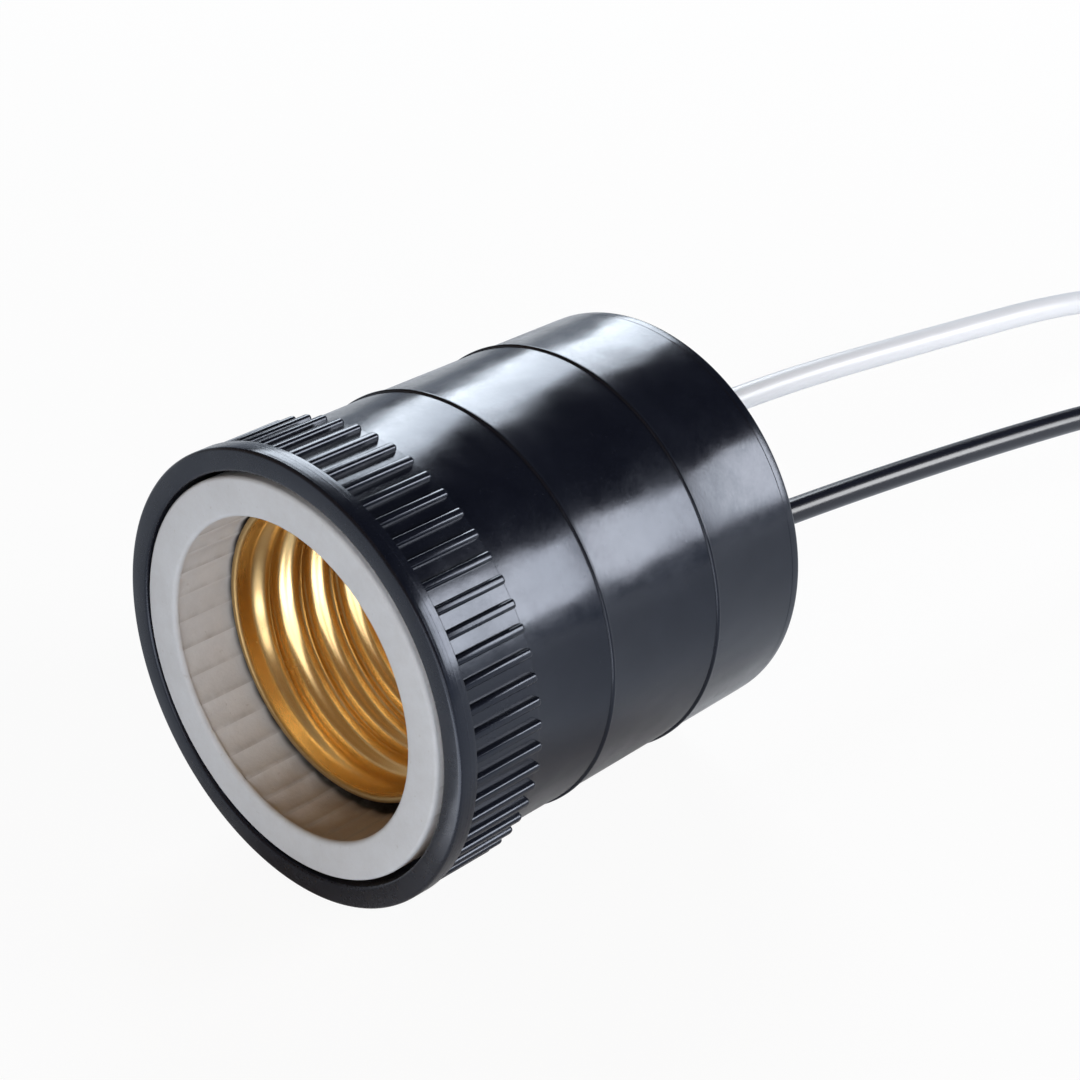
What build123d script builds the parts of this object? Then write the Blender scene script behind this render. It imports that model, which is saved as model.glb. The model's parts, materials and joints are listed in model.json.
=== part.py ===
"""Screw lamp socket: moulded housing, porcelain core, threaded shell, spring contact and two leads.

Millimetres. The socket's axis lies along Y, with the mouth towards -Y and the leads towards +Y.
Y is 0 at the front edge of the threaded shell, and +Z is up with the socket lying on its side.
"""

import os
from math import acos, cos, pi, radians, sin, tan

from build123d import *

# Clearances
seat_gap = 0.05
rivet_gap = 0.05
grip_gap = 0.05
ledge_gap = 0.1
rim_gap = 0.45

# Lamp thread, the 27 mm round thread of a screw lamp holder
thread_pitch = 3.629
thread_major_r = 13.4
thread_minor_r = 12.3
thread_start = 1.1
thread_plain = 0.1
thread_ramp = 1.0
first_flank = 1.66
thread_tail = 1.4
sections_per_turn = 10

# Threaded shell
shell_length = 23.0
sheet = 0.4
collar_skin = 0.06
collar_overlap = 0.2
lip_reach = 0.12
rivet_inset = 2.1
base_inset = 3.8
shell_rivet_angle = 155.0

# Porcelain core
mouth_depth = 6.05
rim_recess = 0.1
cavity_gap = 0.7
core_wall = 1.9
core_rim = 3.5
core_flange_length = 4.6
floor_thickness = 4.6
core_edge = 0.35
core_mouth_round = 0.4
flute_count = 36
flute_phase = -3.0
flute_depth = 0.24
flute_r = 3.4
flute_start = 0.5
flute_end = 2.5
groove_y = 11.0
groove_depth = 0.35
groove_round = 0.8

# Moulded housing
rim_wall = 2.05
body_wall = 2.85
body_mid_taper = 0.1
body_rear_taper = 0.18
rim_edge = 0.3
band_width = 1.9
ring_length = 9.6
valley_step = 0.5
chamber_length = 7.4
ledge_width = 1.45
rear_wall = 2.45
rear_round = 0.3
first_section = 18.9
second_section = 13.4
bead_height = 0.26
bead_round = 0.28
rib_count = 60
rib_phase = 1.6
rib_width = 0.75
rib_drop = 0.15
rib_round = 0.28
boss_r = 2.3
boss_height = 0.9
boss_edge = 0.4

# Centre contact
leaf_thickness = 0.4
leaf_width = 5.0
leaf_angle = 30.0
leaf_foot = 8.3
leaf_bend_low = 4.5
leaf_bend_high = 1.9
leaf_tip = -2.7
leaf_rise = 3.2
leaf_bend_r = 0.8
centre_rivet_u = 6.3
button_r = 2.4
button_height = 1.1
button_shank_r = 1.0
button_tail_r = 1.5
button_tail = 0.5

# Rivets, lugs and washer
rivet_r = 1.2
rivet_head_r = 1.6
rivet_head = 0.8
rivet_tail = 0.8
lug_thickness = 0.6
lug_eye_r = 2.4
lug_foot_r = 1.9
barrel_wall = 0.6
barrel_share = 0.7
washer_r = 2.2

# Leads
lead_d = 2.5
conductor_r = 0.55
lead_x = 5.0
lead_z = 3.6
lead_inside = 2.0
strip_length = 8.0

# Radii worked outwards from the thread
thread_depth = (thread_major_r - thread_minor_r) / 2
shell_in_r = thread_major_r - collar_skin
shell_out_r = thread_major_r + sheet + collar_skin
lip_r = thread_major_r + sheet + lip_reach
shell_rivet_circle_r = thread_major_r - rivet_inset
base_hole_r = thread_major_r - base_inset
cavity_r = thread_major_r + sheet + cavity_gap
core_r = cavity_r + core_wall
core_flange_r = cavity_r + core_rim
core_bore_r = core_r + seat_gap
counterbore_r = core_flange_r + rim_gap
body_front_r = core_bore_r + body_wall
body_mid_r = body_front_r - body_mid_taper
body_rear_r = body_front_r - body_rear_taper
ledge_r = core_bore_r - ledge_width
rim_r = counterbore_r + rim_wall
valley_r = body_front_r + valley_step
rib_top_r = rim_r - rib_drop
rivet_hole_r = rivet_r + rivet_gap
barrel_bore_r = conductor_r + seat_gap

# Places along the axis
front_y = -mouth_depth
core_front = front_y + rim_recess
shoulder_y = core_front + core_flange_length
ring_end = front_y + ring_length
bead_one = front_y + first_section
bead_two = bead_one + second_section
collar_end = thread_start + collar_overlap
thread_end = shell_length - thread_tail
rear_collar_y = thread_end - collar_overlap
base_front = shell_length - sheet
leaf_front = shell_length - leaf_thickness
pad_front = leaf_front - leaf_rise
core_rear = shell_length + floor_thickness
lug_rear = core_rear + lug_thickness
chamber_end = core_rear + chamber_length
rear_y = chamber_end + rear_wall
lead_start = chamber_end - lead_inside
barrel_length = barrel_share * (lead_start - lug_rear)

# Places across the axis, as X and Z
white_place = (-lead_x, lead_z)
black_place = (lead_x, -lead_z)
shell_rivet_white = (
    shell_rivet_circle_r * cos(radians(shell_rivet_angle)),
    shell_rivet_circle_r * sin(radians(shell_rivet_angle)),
)
shell_rivet_plain = (-shell_rivet_white[0], -shell_rivet_white[1])
centre_rivet_place = (
    centre_rivet_u * cos(radians(leaf_angle)),
    centre_rivet_u * sin(radians(leaf_angle)),
)

# Lead paths from inside the wiring chamber to the stripped end, lying on the table at the far end
table_z = -rim_r + lead_d / 2
white_points = [
    (white_place[0], lead_start, white_place[1]),
    (white_place[0], rear_y + 7, white_place[1]),
    (-3.5, rear_y + 24, 3.8),
    (-0.5, rear_y + 46, 2.6),
    (2.0, rear_y + 70, 0.6),
    (1.5, rear_y + 93, -6.5),
    (-4.0, rear_y + 115, -15.5),
    (-11.5, rear_y + 134, table_z),
    (-18.5, rear_y + 150, table_z),
]
black_points = [
    (black_place[0], lead_start, black_place[1]),
    (black_place[0], rear_y + 7, black_place[1]),
    (7.2, rear_y + 24, -4.0),
    (9.5, rear_y + 45, -5.5),
    (11.9, rear_y + 66, -7.6),
    (15.0, rear_y + 88, -13.0),
    (18.4, rear_y + 108, -18.2),
    (21.4, rear_y + 125, table_z),
    (24.3, rear_y + 141, table_z),
]


def across(y):
    """A plane across the socket's axis, seen from the mouth with X to the right and Z up."""
    return Plane(origin=(0, y, 0), x_dir=(1, 0, 0), z_dir=(0, -1, 0))


def beside(place):
    """A plane holding a line along Y through the given X and Z."""
    return Plane(origin=(place[0], 0, place[1]), x_dir=(1, 0, 0), z_dir=(0, 0, 1))


def line_through(place):
    """The line along Y through the given X and Z."""
    return Axis((place[0], 0, place[1]), (0, 1, 0))


def bend_radii(points):
    """The largest arc at each corner that leaves a tenth of the shorter run straight."""
    radii = []
    for before, here, after in zip(points, points[1:], points[2:]):
        run_in = Vector(here) - Vector(before)
        run_out = Vector(after) - Vector(here)
        turn = acos(run_in.normalized().dot(run_out.normalized()))
        radii.append(0.45 * min(run_in.length, run_out.length) / tan(turn / 2))
    return radii


def thread_stations():
    """Height, depth share and phase of each round section of the thread."""
    step = thread_pitch / sections_per_turn
    count = round((thread_end - thread_start) / step)
    stations = []
    for k in range(count + 1):
        y = thread_start + (thread_end - thread_start) * k / count
        inside = min(y - thread_start, thread_end - y) - thread_plain
        share = max(0.0, min(1.0, inside / thread_ramp))
        eased = share * share * (3 - 2 * share)
        stations.append((y, eased, 2 * pi * (y - first_flank) / thread_pitch))
    return stations


# Housing: one rib first, then the sleeve with its ribs, beads, lead holes and bosses
with BuildPart() as rib:
    with BuildSketch(across(front_y + band_width - rib_round)):
        with Locations(((valley_r - rib_width / 2 + rib_top_r) / 2, 0)):
            Rectangle(rib_top_r - valley_r + rib_width / 2, rib_width)
    extrude(amount=-(ring_length - band_width))
    rib_top = rib.faces().sort_by(Axis.X)[-1]
    fillet(rib_top.edges().sort_by(Axis.Y)[1:], rib_round)

with BuildPart() as housing:
    with BuildSketch(Plane.XY):
        with BuildLine():
            Polyline(
                (counterbore_r, front_y),
                (rim_r, front_y),
                (rim_r, front_y + band_width),
                (valley_r, front_y + band_width),
                (valley_r, ring_end),
                (body_front_r, ring_end),
                (body_front_r, bead_one),
                (body_mid_r, bead_two),
                (body_rear_r, rear_y),
                (0, rear_y),
                (0, chamber_end),
                (ledge_r, chamber_end),
                (ledge_r, core_rear + ledge_gap),
                (core_bore_r, core_rear + ledge_gap),
                (core_bore_r, shoulder_y),
                (counterbore_r, shoulder_y),
                close=True,
            )
        make_face()
    revolve(axis=Axis.Y)
    outer_edges = housing.edges().filter_by(GeomType.CIRCLE)
    fillet(outer_edges.filter_by(lambda e: abs(e.radius - body_rear_r) < 1e-4), rear_round)
    front_edges = housing.edges().filter_by(GeomType.CIRCLE).group_by(Axis.Y)[0]
    fillet(front_edges, rim_edge)
    with BuildSketch(Plane.XY):
        with Locations((body_front_r + bead_height - bead_round, bead_one)):
            Circle(bead_round)
        with Locations((body_mid_r + bead_height - bead_round, bead_two)):
            Circle(bead_round)
    revolve(axis=Axis.Y)
    with BuildSketch(Plane.XY):
        with Locations((core_bore_r + groove_round - groove_depth, groove_y)):
            Circle(groove_round - seat_gap)
    revolve(axis=Axis.Y)
    add([rib.part.rotate(Axis.Y, -rib_phase - 360.0 * k / rib_count) for k in range(rib_count)])
    with BuildSketch(across(rear_y - rear_wall / 2)):
        with Locations(white_place, black_place):
            Circle(boss_r)
    extrude(amount=-(rear_wall / 2 + boss_height))
    boss_edges = housing.edges().filter_by(GeomType.CIRCLE).group_by(Axis.Y)[-1]
    fillet(boss_edges, boss_edge)
    with BuildSketch(across(chamber_end)):
        with Locations(white_place, black_place):
            Circle(lead_d / 2 + grip_gap)
    extrude(amount=-(rear_wall + boss_height), mode=Mode.SUBTRACT)
housing.part.label = "housing"

# Porcelain core with its fluted skirt, snap groove and rivet holes
with BuildPart() as ceramic_core:
    with BuildSketch(Plane.XY):
        with BuildLine():
            Polyline(
                (cavity_r, core_front),
                (core_flange_r, core_front),
                (core_flange_r, shoulder_y),
                (core_r, shoulder_y),
                (core_r, core_rear),
                (0, core_rear),
                (0, shell_length),
                (cavity_r, shell_length),
                close=True,
            )
        make_face()
    revolve(axis=Axis.Y)
    mouth_edges = ceramic_core.edges().filter_by(GeomType.CIRCLE).group_by(Axis.Y)[0].sort_by(SortBy.RADIUS)
    fillet(mouth_edges[-1], core_edge)
    inner_edges = ceramic_core.edges().filter_by(GeomType.CIRCLE).group_by(Axis.Y)[0].sort_by(SortBy.RADIUS)
    fillet(inner_edges[0], core_mouth_round)
    with BuildSketch(Plane.XY):
        with Locations((core_r + groove_round - groove_depth, groove_y)):
            Circle(groove_round)
    revolve(axis=Axis.Y, mode=Mode.SUBTRACT)
    with BuildSketch(across(core_front + flute_start)):
        with PolarLocations(cavity_r + flute_depth - flute_r, flute_count, flute_phase):
            Circle(flute_r)
    extrude(amount=-(flute_end - core_front - flute_start), mode=Mode.SUBTRACT)
    with BuildSketch(across(shell_length)):
        with Locations(shell_rivet_white, shell_rivet_plain, centre_rivet_place):
            Circle(rivet_hole_r)
    extrude(amount=-floor_thickness, mode=Mode.SUBTRACT)
ceramic_core.part.label = "ceramic_core"

# Threaded shell: each cross-section of the rolled thread is a round whose centre winds about the axis
with BuildPart() as screw_shell:
    for y, share, phase in thread_stations():
        swing = thread_depth * share
        middle = Plane(
            origin=(swing * sin(phase), y, swing * cos(phase)), x_dir=(1, 0, 0), z_dir=(0, -1, 0)
        )
        with BuildSketch(middle):
            Circle(thread_major_r - swing + sheet)
    loft()
    for y, share, phase in thread_stations():
        swing = thread_depth * share
        middle = Plane(
            origin=(swing * sin(phase), y, swing * cos(phase)), x_dir=(1, 0, 0), z_dir=(0, -1, 0)
        )
        with BuildSketch(middle):
            Circle(thread_major_r - swing)
    loft(mode=Mode.SUBTRACT)
    with BuildSketch(Plane.XY):
        with BuildLine():
            Polyline(
                (shell_in_r, 0),
                (lip_r, 0),
                (lip_r, sheet),
                (shell_out_r, 2 * sheet),
                (shell_out_r, collar_end),
                (shell_in_r, collar_end),
                close=True,
            )
        make_face()
        with BuildLine():
            Polyline(
                (shell_in_r, rear_collar_y),
                (shell_out_r, rear_collar_y),
                (shell_out_r, shell_length),
                (shell_in_r, shell_length),
                close=True,
            )
        make_face()
    revolve(axis=Axis.Y)
screw_shell.part.label = "screw_shell"

# Base ring staked into the shell's rear end and riveted to the core's floor
with BuildPart() as shell_base:
    with BuildSketch(across(base_front)):
        Circle(shell_in_r - seat_gap)
        Circle(base_hole_r, mode=Mode.SUBTRACT)
        with Locations(shell_rivet_white, shell_rivet_plain):
            Circle(rivet_hole_r, mode=Mode.SUBTRACT)
    extrude(amount=-sheet)
shell_base.part.label = "shell_base"

# Spring leaf of the centre contact, bent up from its riveted foot to the axis
leaf_plane = Plane(
    origin=(0, 0, 0),
    x_dir=(cos(radians(leaf_angle)), 0, sin(radians(leaf_angle))),
    z_dir=(-sin(radians(leaf_angle)), 0, cos(radians(leaf_angle))),
)
with BuildPart() as centre_leaf:
    with BuildSketch(leaf_plane):
        with BuildLine():
            FilletPolyline(
                (leaf_foot, leaf_front + leaf_thickness / 2),
                (leaf_bend_low, leaf_front + leaf_thickness / 2),
                (leaf_bend_high, pad_front + leaf_thickness / 2),
                (leaf_tip, pad_front + leaf_thickness / 2),
                radius=leaf_bend_r,
            )
        trace(line_width=leaf_thickness)
    extrude(amount=leaf_width / 2, both=True)
    with BuildSketch(across(leaf_front)):
        with Locations(centre_rivet_place):
            Circle(rivet_hole_r)
    extrude(amount=-leaf_thickness, mode=Mode.SUBTRACT)
    with BuildSketch(across(pad_front)):
        Circle(button_shank_r)
    extrude(amount=-leaf_thickness, mode=Mode.SUBTRACT)
centre_leaf.part.label = "centre_leaf"

# Domed button at the leaf's tip, which the lamp presses back
dome_r = (button_r**2 + button_height**2) / (2 * button_height)
with BuildPart() as contact_button:
    with BuildSketch(Plane.XY):
        with BuildLine():
            RadiusArc((0, pad_front - button_height), (button_r, pad_front), -dome_r)
            Polyline(
                (button_r, pad_front),
                (button_shank_r, pad_front),
                (button_shank_r, pad_front + leaf_thickness),
                (button_tail_r, pad_front + leaf_thickness),
                (button_tail_r - button_tail / 2, pad_front + leaf_thickness + button_tail),
                (0, pad_front + leaf_thickness + button_tail),
                (0, pad_front - button_height),
            )
        make_face()
    revolve(axis=Axis.Y)
contact_button.part.label = "contact_button"


def rivet_profile(seat, tail_seat):
    """Half section of a rivet, from its rounded head on the seat to its formed tail."""
    head_r = (rivet_head_r**2 + rivet_head**2) / (2 * rivet_head)
    with BuildSketch() as profile:
        with BuildLine():
            RadiusArc((0, seat - rivet_head), (rivet_head_r, seat), -head_r)
            Polyline(
                (rivet_head_r, seat),
                (rivet_r, seat),
                (rivet_r, tail_seat),
                (rivet_head_r, tail_seat),
                (rivet_r, tail_seat + rivet_tail),
                (0, tail_seat + rivet_tail),
                (0, seat - rivet_head),
            )
        make_face()
    return profile.sketch


# Rivets: one through the leaf, and two through the shell's base ring
with BuildPart() as centre_rivet:
    with BuildSketch(beside(centre_rivet_place)):
        add(rivet_profile(leaf_front, lug_rear))
    revolve(axis=line_through(centre_rivet_place))
centre_rivet.part.label = "centre_rivet"

with BuildPart() as shell_rivet_lug:
    with BuildSketch(beside(shell_rivet_white)):
        add(rivet_profile(base_front, lug_rear))
    revolve(axis=line_through(shell_rivet_white))
shell_rivet_lug.part.label = "shell_rivet_lug"

with BuildPart() as shell_rivet_washer:
    with BuildSketch(beside(shell_rivet_plain)):
        add(rivet_profile(base_front, lug_rear))
    revolve(axis=line_through(shell_rivet_plain))
shell_rivet_washer.part.label = "shell_rivet_washer"

with BuildPart() as rivet_washer:
    with BuildSketch(across(core_rear)):
        with Locations(shell_rivet_plain):
            Circle(washer_r)
            Circle(rivet_hole_r, mode=Mode.SUBTRACT)
    extrude(amount=-lug_thickness)
rivet_washer.part.label = "rivet_washer"

# Lugs behind the core: an eye under the rivet's tail and an upright barrel for the lead
with BuildPart() as neutral_lug:
    with BuildSketch(across(core_rear)):
        with Locations(shell_rivet_white):
            Circle(lug_eye_r)
        with Locations(white_place):
            Circle(lug_foot_r)
        make_hull()
        with Locations(shell_rivet_white):
            Circle(rivet_hole_r, mode=Mode.SUBTRACT)
    extrude(amount=-lug_thickness)
    with BuildSketch(across(lug_rear)):
        with Locations(white_place):
            Circle(barrel_bore_r + barrel_wall)
            Circle(barrel_bore_r, mode=Mode.SUBTRACT)
    extrude(amount=-barrel_length)
neutral_lug.part.label = "neutral_lug"

with BuildPart() as live_lug:
    with BuildSketch(across(core_rear)):
        with Locations(centre_rivet_place):
            Circle(lug_eye_r)
        with Locations(black_place):
            Circle(lug_foot_r)
        make_hull()
        with Locations(centre_rivet_place):
            Circle(rivet_hole_r, mode=Mode.SUBTRACT)
    extrude(amount=-lug_thickness)
    with BuildSketch(across(lug_rear)):
        with Locations(black_place):
            Circle(barrel_bore_r + barrel_wall)
            Circle(barrel_bore_r, mode=Mode.SUBTRACT)
    extrude(amount=-barrel_length)
live_lug.part.label = "live_lug"

# Leads: insulation along each path, and the bare conductor at both ends
with BuildPart() as white_lead:
    with BuildLine() as white_path:
        FilletPolyline(*white_points, radius=bend_radii(white_points))
    with BuildSketch(Plane(origin=white_path.line @ 0, z_dir=white_path.line % 0)):
        Circle(lead_d / 2)
    sweep()
white_lead.part.label = "white_lead"

with BuildPart() as black_lead:
    with BuildLine() as black_path:
        FilletPolyline(*black_points, radius=bend_radii(black_points))
    with BuildSketch(Plane(origin=black_path.line @ 0, z_dir=black_path.line % 0)):
        Circle(lead_d / 2)
    sweep()
black_lead.part.label = "black_lead"

with BuildPart() as white_conductor:
    with BuildSketch(across(lug_rear)):
        with Locations(white_place):
            Circle(conductor_r)
    extrude(amount=-(lead_start - lug_rear))
white_conductor.part.label = "white_conductor"

with BuildPart() as black_conductor:
    with BuildSketch(across(lug_rear)):
        with Locations(black_place):
            Circle(conductor_r)
    extrude(amount=-(lead_start - lug_rear))
black_conductor.part.label = "black_conductor"

with BuildPart() as white_bare_end:
    with BuildSketch(Plane(origin=white_path.line @ 1, z_dir=white_path.line % 1)):
        Circle(conductor_r)
    extrude(amount=strip_length)
white_bare_end.part.label = "white_bare_end"

with BuildPart() as black_bare_end:
    with BuildSketch(Plane(origin=black_path.line @ 1, z_dir=black_path.line % 1)):
        Circle(conductor_r)
    extrude(amount=strip_length)
black_bare_end.part.label = "black_bare_end"

# Bend radii, lengths and swept volumes of the leads
lead_area = pi * lead_d**2 / 4
for label, points, path, lead in (
    ("white", white_points, white_path, white_lead),
    ("black", black_points, black_path, black_lead),
):
    length = path.wire().length
    print(label, "bend radii", [round(r, 1) for r in bend_radii(points)])
    print(label, "length", round(length, 2), "volume over section times length",
          round(lead.part.volume / (lead_area * length), 4))
print("thread turns", round((thread_end - thread_start) / thread_pitch, 2))

os.makedirs("parts", exist_ok=True)
export_step(housing.part, "parts/housing.step")
export_step(ceramic_core.part, "parts/ceramic_core.step")
export_step(screw_shell.part, "parts/screw_shell.step")
export_step(shell_base.part, "parts/shell_base.step")
export_step(centre_leaf.part, "parts/centre_leaf.step")
export_step(contact_button.part, "parts/contact_button.step")
export_step(centre_rivet.part, "parts/centre_rivet.step")
export_step(shell_rivet_lug.part, "parts/shell_rivet_lug.step")
export_step(shell_rivet_washer.part, "parts/shell_rivet_washer.step")
export_step(rivet_washer.part, "parts/rivet_washer.step")
export_step(neutral_lug.part, "parts/neutral_lug.step")
export_step(live_lug.part, "parts/live_lug.step")
export_step(white_lead.part, "parts/white_lead.step")
export_step(black_lead.part, "parts/black_lead.step")
export_step(white_conductor.part, "parts/white_conductor.step")
export_step(black_conductor.part, "parts/black_conductor.step")
export_step(white_bare_end.part, "parts/white_bare_end.step")
export_step(black_bare_end.part, "parts/black_bare_end.step")
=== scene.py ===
"""Looks of the screw lamp socket, laid out as an add-on.

Metres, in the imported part's own frame: the socket's axis lies along Y, with the mouth towards -Y and the
leads towards +Y, and +Z is up with the socket lying on its side.
"""

import json
from math import atan2, cos, pi, radians, sin, sqrt, tau

import bmesh
import bpy
from bpy.props import FloatProperty, FloatVectorProperty, IntProperty, PointerProperty
from mathutils import Matrix, Vector
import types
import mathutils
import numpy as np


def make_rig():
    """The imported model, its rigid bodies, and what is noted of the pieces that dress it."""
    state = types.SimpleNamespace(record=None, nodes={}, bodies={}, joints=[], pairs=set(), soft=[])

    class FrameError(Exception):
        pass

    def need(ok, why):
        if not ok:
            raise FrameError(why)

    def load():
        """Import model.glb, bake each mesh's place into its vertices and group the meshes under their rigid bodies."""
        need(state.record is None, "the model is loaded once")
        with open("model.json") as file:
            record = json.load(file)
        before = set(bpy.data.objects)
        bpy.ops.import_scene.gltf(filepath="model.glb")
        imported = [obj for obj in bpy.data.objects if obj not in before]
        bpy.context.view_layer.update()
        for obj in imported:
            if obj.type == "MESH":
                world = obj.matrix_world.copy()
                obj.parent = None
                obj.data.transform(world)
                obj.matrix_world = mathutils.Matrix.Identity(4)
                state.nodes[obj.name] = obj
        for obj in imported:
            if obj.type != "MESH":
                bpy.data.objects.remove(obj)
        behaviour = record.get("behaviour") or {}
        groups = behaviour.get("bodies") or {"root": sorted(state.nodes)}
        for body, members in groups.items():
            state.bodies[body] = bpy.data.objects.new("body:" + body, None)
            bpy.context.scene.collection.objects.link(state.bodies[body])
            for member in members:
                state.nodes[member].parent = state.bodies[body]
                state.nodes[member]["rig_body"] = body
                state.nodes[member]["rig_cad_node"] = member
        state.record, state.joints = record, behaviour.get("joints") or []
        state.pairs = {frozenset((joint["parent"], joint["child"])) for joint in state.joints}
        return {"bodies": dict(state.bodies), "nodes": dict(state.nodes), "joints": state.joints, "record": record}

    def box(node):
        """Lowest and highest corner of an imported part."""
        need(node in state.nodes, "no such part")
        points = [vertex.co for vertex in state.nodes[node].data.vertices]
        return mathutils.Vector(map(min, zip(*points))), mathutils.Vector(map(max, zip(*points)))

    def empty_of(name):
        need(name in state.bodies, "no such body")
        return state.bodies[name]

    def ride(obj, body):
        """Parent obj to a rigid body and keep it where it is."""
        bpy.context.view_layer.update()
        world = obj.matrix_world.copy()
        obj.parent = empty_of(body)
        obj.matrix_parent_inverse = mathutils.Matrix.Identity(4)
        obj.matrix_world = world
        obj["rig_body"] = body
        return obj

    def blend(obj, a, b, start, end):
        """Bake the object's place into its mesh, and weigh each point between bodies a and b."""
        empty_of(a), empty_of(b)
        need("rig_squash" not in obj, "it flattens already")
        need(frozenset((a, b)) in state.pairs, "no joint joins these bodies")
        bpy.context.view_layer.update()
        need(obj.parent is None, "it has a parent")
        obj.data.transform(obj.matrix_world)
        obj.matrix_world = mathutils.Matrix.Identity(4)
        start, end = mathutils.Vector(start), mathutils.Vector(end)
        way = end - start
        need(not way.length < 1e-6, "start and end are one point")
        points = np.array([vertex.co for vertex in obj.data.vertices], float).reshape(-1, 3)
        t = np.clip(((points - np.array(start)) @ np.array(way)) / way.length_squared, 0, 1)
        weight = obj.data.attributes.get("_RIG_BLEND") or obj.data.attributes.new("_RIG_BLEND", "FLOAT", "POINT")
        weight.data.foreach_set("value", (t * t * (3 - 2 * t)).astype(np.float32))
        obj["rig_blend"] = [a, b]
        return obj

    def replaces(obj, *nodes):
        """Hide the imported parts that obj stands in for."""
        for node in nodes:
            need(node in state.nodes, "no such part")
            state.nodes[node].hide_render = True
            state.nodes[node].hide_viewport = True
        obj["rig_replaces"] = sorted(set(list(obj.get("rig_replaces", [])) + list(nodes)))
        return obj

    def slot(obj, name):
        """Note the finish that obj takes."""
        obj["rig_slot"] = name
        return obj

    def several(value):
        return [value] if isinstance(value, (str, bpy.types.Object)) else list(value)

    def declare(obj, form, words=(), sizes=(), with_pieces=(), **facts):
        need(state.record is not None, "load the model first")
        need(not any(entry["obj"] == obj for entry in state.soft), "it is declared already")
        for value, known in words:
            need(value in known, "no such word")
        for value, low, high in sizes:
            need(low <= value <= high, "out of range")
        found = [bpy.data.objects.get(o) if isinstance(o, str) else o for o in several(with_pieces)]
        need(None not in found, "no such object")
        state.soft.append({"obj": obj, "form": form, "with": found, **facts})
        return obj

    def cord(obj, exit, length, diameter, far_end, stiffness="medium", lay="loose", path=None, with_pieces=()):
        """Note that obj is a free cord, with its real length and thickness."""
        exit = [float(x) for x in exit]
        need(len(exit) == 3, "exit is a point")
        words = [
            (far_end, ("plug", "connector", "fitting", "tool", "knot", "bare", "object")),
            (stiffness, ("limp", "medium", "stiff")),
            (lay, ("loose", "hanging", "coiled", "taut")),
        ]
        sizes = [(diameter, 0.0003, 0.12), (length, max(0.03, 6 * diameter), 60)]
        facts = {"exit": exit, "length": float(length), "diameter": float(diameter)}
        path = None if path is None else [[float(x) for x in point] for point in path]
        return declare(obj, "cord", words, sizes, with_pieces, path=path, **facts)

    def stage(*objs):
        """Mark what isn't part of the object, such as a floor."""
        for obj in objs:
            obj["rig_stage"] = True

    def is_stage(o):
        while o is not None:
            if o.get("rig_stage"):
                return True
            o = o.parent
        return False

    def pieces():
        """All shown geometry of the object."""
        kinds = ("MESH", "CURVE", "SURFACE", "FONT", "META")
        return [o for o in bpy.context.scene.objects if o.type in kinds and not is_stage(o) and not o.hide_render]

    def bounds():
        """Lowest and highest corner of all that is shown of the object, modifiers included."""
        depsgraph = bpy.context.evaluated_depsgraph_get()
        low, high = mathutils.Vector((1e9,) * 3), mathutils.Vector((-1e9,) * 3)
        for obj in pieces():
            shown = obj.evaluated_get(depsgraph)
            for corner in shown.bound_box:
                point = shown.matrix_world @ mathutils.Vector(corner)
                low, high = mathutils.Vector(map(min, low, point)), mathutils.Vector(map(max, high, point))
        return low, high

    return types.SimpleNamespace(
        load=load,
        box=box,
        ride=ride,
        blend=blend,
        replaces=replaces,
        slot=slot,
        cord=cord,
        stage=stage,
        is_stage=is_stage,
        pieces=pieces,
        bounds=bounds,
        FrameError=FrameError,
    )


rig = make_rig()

bl_info = {
    "name": "Screw lamp socket",
    "version": (1, 0, 0),
    "blender": (4, 5, 0),
    "location": "View3D > Sidebar > Lamp socket",
    "description": "Builds the looks of a screw lamp socket around its packed solids",
    "category": "Object",
}

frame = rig.load()
cad_low, cad_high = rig.bounds()
housing_low, housing_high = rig.box("housing")
core_low, core_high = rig.box("ceramic_core")
shell_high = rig.box("screw_shell")[1]

SIZE_FILE = "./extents.json"
ORIGIN = (0.0, 0.0, 0.0)
AXIS = (0.0, 1.0, 0.0)
MERGE_DISTANCE = 1e-7
LEAD_PLACES = ((-0.005, 0.0036), (0.005, -0.0036))


def length(name, description, default):
    """A size that is shown in the scene's unit of length."""
    return FloatProperty(name=name, description=description, default=default, unit="LENGTH", precision=5)


def share(name, description, default):
    """A number from nought to one."""
    return FloatProperty(
        name=name, description=description, default=default, min=0.0, max=1.0, subtype="FACTOR"
    )


def phase(name, description, degrees):
    """An angle, given in degrees."""
    return FloatProperty(
        name=name, description=description, default=radians(degrees), subtype="ANGLE", unit="ROTATION"
    )


def shift(name, description, default):
    """An offset from the axis, across and up."""
    return FloatVectorProperty(
        name=name, description=description, default=default, size=2, unit="LENGTH", precision=5
    )


def watts(name, description, default):
    """The power of a light."""
    return FloatProperty(name=name, description=description, default=default, min=0.0, unit="POWER")


def colour(name, description, default):
    """A colour picked in linear light."""
    return FloatVectorProperty(
        name=name, description=description, default=default, min=0.0, max=1.0, size=3, subtype="COLOR"
    )


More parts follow.
